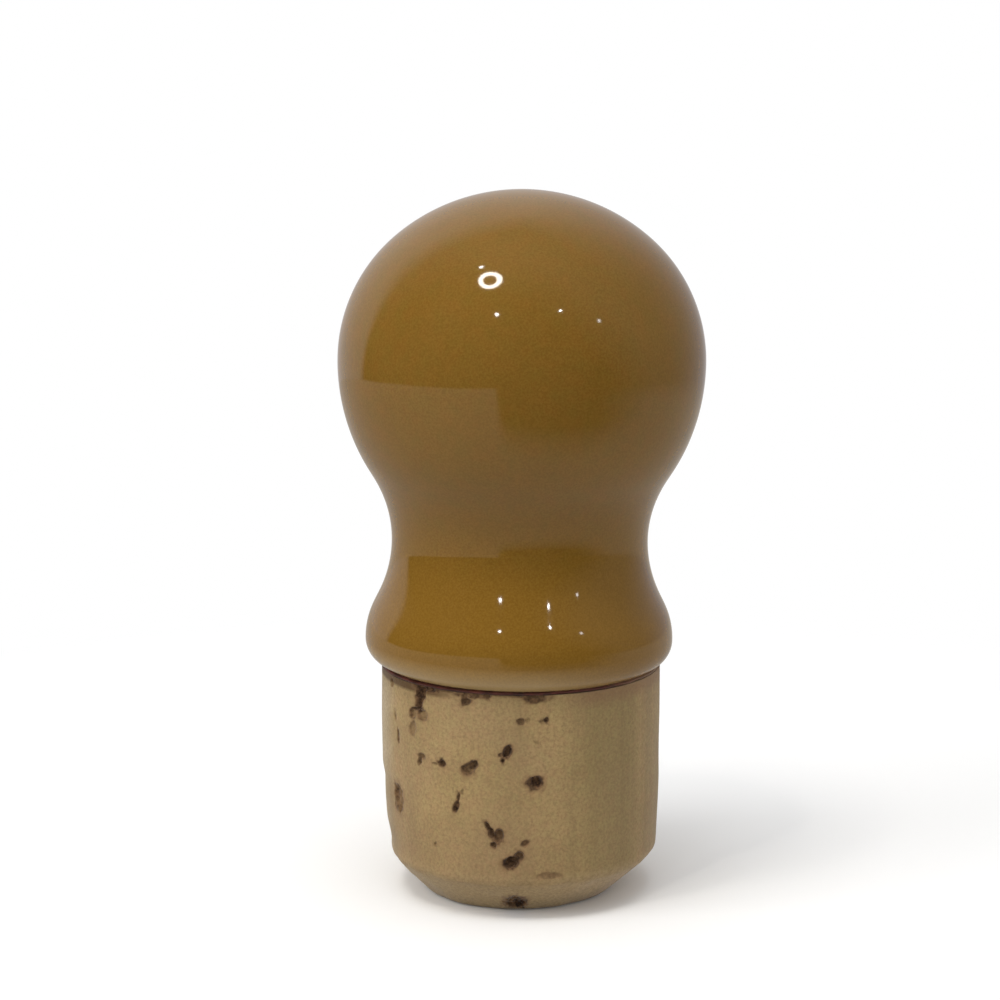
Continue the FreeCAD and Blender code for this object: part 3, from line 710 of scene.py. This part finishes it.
def build_floor():
    """Lay a white sheet that fades into the white background away from the stopper."""
    bm = bmesh.new()
    bmesh.ops.create_circle(bm, cap_ends=True, segments=64, radius=FLOOR_RADIUS)
    material, tree = new_material("white paper")
    place = add(tree, "ShaderNodeTexCoord").outputs["Object"]
    away = add(tree, "ShaderNodeVectorMath", {"operation": "LENGTH"}, {0: place}).outputs["Value"]
    faded = add(tree, "ShaderNodeMapRange", {},
                {"Value": away, "From Min": 0.015, "From Max": 0.09}).outputs[0]
    seen = add(tree, "ShaderNodeLightPath").outputs["Is Camera Ray"]
    fade = add(tree, "ShaderNodeMath", {"operation": "MULTIPLY"}, {0: faded, 1: seen}).outputs[0]
    sheet = add(tree, "ShaderNodeMix", RGBA, {0: seen, 6: rgb("c8c6c2"), 7: rgb("f7f7f7")}).outputs[2]
    paper = add(tree, "ShaderNodeBsdfDiffuse", {}, {"Color": sheet}).outputs[0]
    white = add(tree, "ShaderNodeEmission", {}, {"Color": rgb("ffffff")}).outputs[0]
    mixed = add(tree, "ShaderNodeMixShader", {}, {0: fade, 1: paper, 2: white}).outputs[0]
    add(tree, "ShaderNodeOutputMaterial", {}, {"Surface": mixed})
    floor = stage_piece(bm, "floor", material)
    floor.visible_glossy = False


def only_mirrored(piece):
    """Let a part of the stage show in reflections and nowhere else."""
    piece.visible_camera = False
    piece.visible_diffuse = False
    piece.visible_transmission = False
    piece.visible_shadow = False
    piece.data.materials[0].cycles.emission_sampling = "NONE"


def build_room():
    """Stand the room that the glaze mirrors: dark on the camera's side, with a pale backdrop behind."""
    material, tree = new_material("room")
    place = add(tree, "ShaderNodeTexCoord").outputs["Object"]
    way = add(tree, "ShaderNodeVectorMath", {"operation": "NORMALIZE"}, {0: place}).outputs[0]
    side = add(tree, "ShaderNodeVectorMath", DOT, {0: way, 1: (1, 0, 0)}).outputs["Value"]
    height = add(tree, "ShaderNodeVectorMath", DOT, {0: way, 1: (0, 0, 1)}).outputs["Value"]
    upward = add(tree, "ShaderNodeVectorMath", DOT, {0: way, 1: (0.35, 0.6, 0.4)}).outputs["Value"]
    above = add(tree, "ShaderNodeMapRange", {},
                {"Value": upward, "From Min": -0.1, "From Max": 0.3}).outputs[0]
    ceiling = add(tree, "ShaderNodeMix", RGBA, {0: above, 6: rgb("181614"), 7: rgb("8f8b85")}).outputs[2]

    # The backdrop is darker to the right. Its near edge is crisp on the left and fades on the right.
    high = add(tree, "ShaderNodeMapRange", {},
               {"Value": height, "From Min": 0.1, "From Max": 0.7}).outputs[0]
    backdrop = add(tree, "ShaderNodeMix", RGBA, {0: high, 6: rgb("cbc6c4"), 7: rgb("e4e0de")}).outputs[2]
    right = add(tree, "ShaderNodeMapRange", {},
                {"Value": side, "From Min": 0.0, "From Max": 0.7}).outputs[0]
    backdrop = add(tree, "ShaderNodeMix", RGBA, {0: right, 6: backdrop, 7: rgb("abaab0")}).outputs[2]
    start = add(tree, "ShaderNodeMapRange", {}, {
        "Value": side, "From Min": 0.0, "From Max": 0.6, "To Min": 0.49, "To Max": 0.1,
    }).outputs[0]
    full = add(tree, "ShaderNodeMapRange", {}, {
        "Value": side, "From Min": -0.9, "From Max": -0.7, "To Min": 0.56, "To Max": 0.7,
    }).outputs[0]
    behind = add(tree, "ShaderNodeVectorMath", DOT, {0: way, 1: (-0.12, 1, 0.2)}).outputs["Value"]
    share = add(tree, "ShaderNodeMapRange", {},
                {"Value": behind, "From Min": start, "From Max": full}).outputs[0]
    colour = add(tree, "ShaderNodeMix", RGBA, {0: share, 6: ceiling, 7: backdrop}).outputs[2]
    glow = add(tree, "ShaderNodeEmission", {}, {"Color": colour}).outputs[0]
    add(tree, "ShaderNodeOutputMaterial", {}, {"Surface": glow})
    bm = bmesh.new()
    bmesh.ops.create_uvsphere(bm, u_segments=64, v_segments=32, radius=ROOM_RADIUS)
    only_mirrored(stage_piece(bm, "room", material))


def build_table_sheet():
    """Lay the pale sheet that the glaze mirrors, with a shadow on it towards the camera's right."""
    material, tree = new_material("table sheet")
    place = add(tree, "ShaderNodeTexCoord").outputs["Object"]
    way = add(tree, "ShaderNodeVectorMath", {"operation": "NORMALIZE"}, {0: place}).outputs[0]
    nearness = add(tree, "ShaderNodeVectorMath", DOT, {0: place, 1: (0.35, -1, 0)}).outputs["Value"]
    rightness = add(tree, "ShaderNodeVectorMath", DOT, {0: place, 1: (1, -0.29, 0)}).outputs["Value"]
    frontness = add(tree, "ShaderNodeVectorMath", DOT, {0: way, 1: (0, -1, 0)}).outputs["Value"]
    near = add(tree, "ShaderNodeMapRange", {},
               {"Value": nearness, "From Min": 0.04, "From Max": 0.078}).outputs[0]
    right = add(tree, "ShaderNodeMapRange", {},
                {"Value": rightness, "From Min": 0.0, "From Max": 0.008}).outputs[0]
    front = add(tree, "ShaderNodeMapRange", {},
                {"Value": frontness, "From Min": 0.15, "From Max": 0.7}).outputs[0]
    corner = add(tree, "ShaderNodeMath", {"operation": "MULTIPLY"}, {0: near, 1: right}).outputs[0]
    shadow = add(tree, "ShaderNodeMath", {"operation": "MULTIPLY"}, {0: corner, 1: front}).outputs[0]
    colour = add(tree, "ShaderNodeMix", RGBA, {0: shadow, 6: rgb("c0bab2"), 7: rgb("2a2622")}).outputs[2]
    glow = add(tree, "ShaderNodeEmission", {}, {"Color": colour}).outputs[0]

    # Its edge is crisp on the left, and fades on the right.
    side = add(tree, "ShaderNodeVectorMath", DOT, {0: way, 1: (1, 0, 0)}).outputs["Value"]
    start = add(tree, "ShaderNodeMapRange", {}, {
        "Value": side, "From Min": 0.1, "From Max": 0.6, "To Min": SHEET_RADIUS - 0.001, "To Max": 0.14,
    }).outputs[0]
    away = add(tree, "ShaderNodeVectorMath", {"operation": "LENGTH"}, {0: place}).outputs["Value"]
    faded = add(tree, "ShaderNodeMapRange", {},
                {"Value": away, "From Min": start, "From Max": SHEET_RADIUS}).outputs[0]
    clear = add(tree, "ShaderNodeBsdfTransparent").outputs[0]
    mixed = add(tree, "ShaderNodeMixShader", {}, {0: faded, 1: glow, 2: clear}).outputs[0]
    add(tree, "ShaderNodeOutputMaterial", {}, {"Surface": mixed})
    bm = bmesh.new()
    bmesh.ops.create_circle(bm, cap_ends=True, segments=64, radius=SHEET_RADIUS)
    bmesh.ops.translate(bm, verts=bm.verts, vec=(0, 0, SHEET_HEIGHT))
    only_mirrored(stage_piece(bm, "table_sheet", material))


def hang_lamp(name, place, aim, width, watts, mirrored):
    """Hang a round lamp, aimed at a point and hidden from the camera."""
    light = bpy.data.lights.new(name, "AREA")
    light.shape = "DISK"
    light.size = width * MM
    light.energy = watts
    hung = bpy.data.objects.new(name, light)
    hung.location = Vector(place) * MM
    hung.rotation_euler = (Vector(place) - Vector(aim)).to_track_quat("Z", "Y").to_euler()
    hung.visible_camera = False
    hung.visible_glossy = mirrored
    bpy.context.scene.collection.objects.link(hung)


def build_ring_lamp():
    """Hang a ring lamp up on the left, whose reflection is the bright ring on the ball."""
    material, tree = new_material("lit ring")
    glow = add(tree, "ShaderNodeEmission", {}, {"Color": rgb("fffaf0"), "Strength": 30.0}).outputs[0]
    add(tree, "ShaderNodeOutputMaterial", {}, {"Surface": glow})
    bm = bmesh.new()
    bmesh.ops.create_circle(bm, cap_ends=True, segments=48, radius=RING_RADIUS)
    band = bmesh.ops.inset_region(bm, faces=bm.faces, thickness=RING_WIDTH, use_boundary=True)["faces"]
    middle = [face for face in bm.faces if face not in band]
    bmesh.ops.delete(bm, geom=middle, context="FACES_ONLY")
    turn = (RING_PLACE - RING_AIM).to_track_quat("Z", "Y").to_matrix().to_4x4()
    bmesh.ops.transform(bm, matrix=Matrix.Translation(RING_PLACE) @ turn, verts=bm.verts)
    ring = stage_piece(bm, "ring_lamp", material)
    ring.visible_camera = False


def build_world():
    """Light the room evenly, and show it white to the camera and in reflections."""
    world = bpy.data.worlds.new("white studio")
    bpy.context.scene.world = world
    world.use_nodes = True
    tree = world.node_tree
    tree.nodes.clear()
    path = add(tree, "ShaderNodeLightPath").outputs
    seen = add(tree, "ShaderNodeMath", {"operation": "ADD"},
               {0: path["Is Camera Ray"], 1: path["Is Glossy Ray"]}).outputs[0]
    seen = add(tree, "ShaderNodeMath", {"operation": "ADD", "use_clamp": True},
               {0: seen, 1: path["Is Transmission Ray"]}).outputs[0]
    soft = add(tree, "ShaderNodeBackground", {}, {"Color": rgb("ffffff"), "Strength": 0.68}).outputs[0]
    white = add(tree, "ShaderNodeBackground", {}, {"Color": rgb("ffffff"), "Strength": 1.0}).outputs[0]
    mixed = add(tree, "ShaderNodeMixShader", {}, {0: seen, 1: soft, 2: white}).outputs[0]
    add(tree, "ShaderNodeOutputWorld", {}, {"Surface": mixed})


def build_camera():
    """Set the camera where the photo was taken: close, and looking down a little."""
    data = bpy.data.cameras.new("camera")
    data.lens = LENS
    data.sensor_width = SENSOR_WIDTH
    data.clip_start = 0.01
    camera = bpy.data.objects.new("camera", data)
    camera.location = CAMERA_PLACE
    camera.rotation_euler = (math.radians(90 - CAMERA_DIP), 0, 0)
    bpy.context.scene.collection.objects.link(camera)
    bpy.context.scene.camera = camera


build_head()
build_cork()
build_glue()
build_floor()
build_room()
build_table_sheet()
build_ring_lamp()
for name, lamp in LAMPS.items():
    hang_lamp(name, *lamp)
build_world()
build_camera()
bpy.context.scene.view_settings.view_transform = "Standard"
